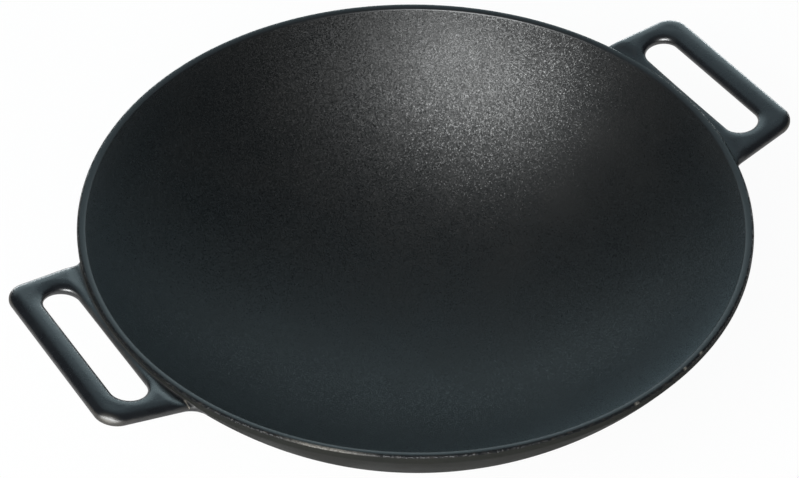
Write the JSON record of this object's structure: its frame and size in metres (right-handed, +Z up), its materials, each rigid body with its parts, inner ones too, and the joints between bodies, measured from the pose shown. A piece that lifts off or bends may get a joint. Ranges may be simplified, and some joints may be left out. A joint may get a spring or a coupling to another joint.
{
  "type": "cast iron wok",
  "caption": "Round-bottomed cast iron wok with a flat foot and a loop handle with a finger slot on each side, for frying over a burner or on a flat hob.",
  "frame": {"origin": "middle of the foot's flat underside, where the wok stands", "axes": "+Z up along the bowl's axis, +X towards the right handle, -X towards the left handle"},
  "size_m": [0.4328, 0.36, 0.1167],
  "materials": {
    "bowl_iron": "satin black seasoned casting with a fine pebbled grain",
    "handle_iron": "smoother semi-gloss black seasoned casting",
    "foot_iron": "matt black seasoned casting, turned flat underneath"
  },
  "bodies": {
    "root": {"bowl": "bowl_iron", "foot": "foot_iron", "left_handle": "handle_iron", "right_handle": "handle_iron"}
  },
  "joints": []
}
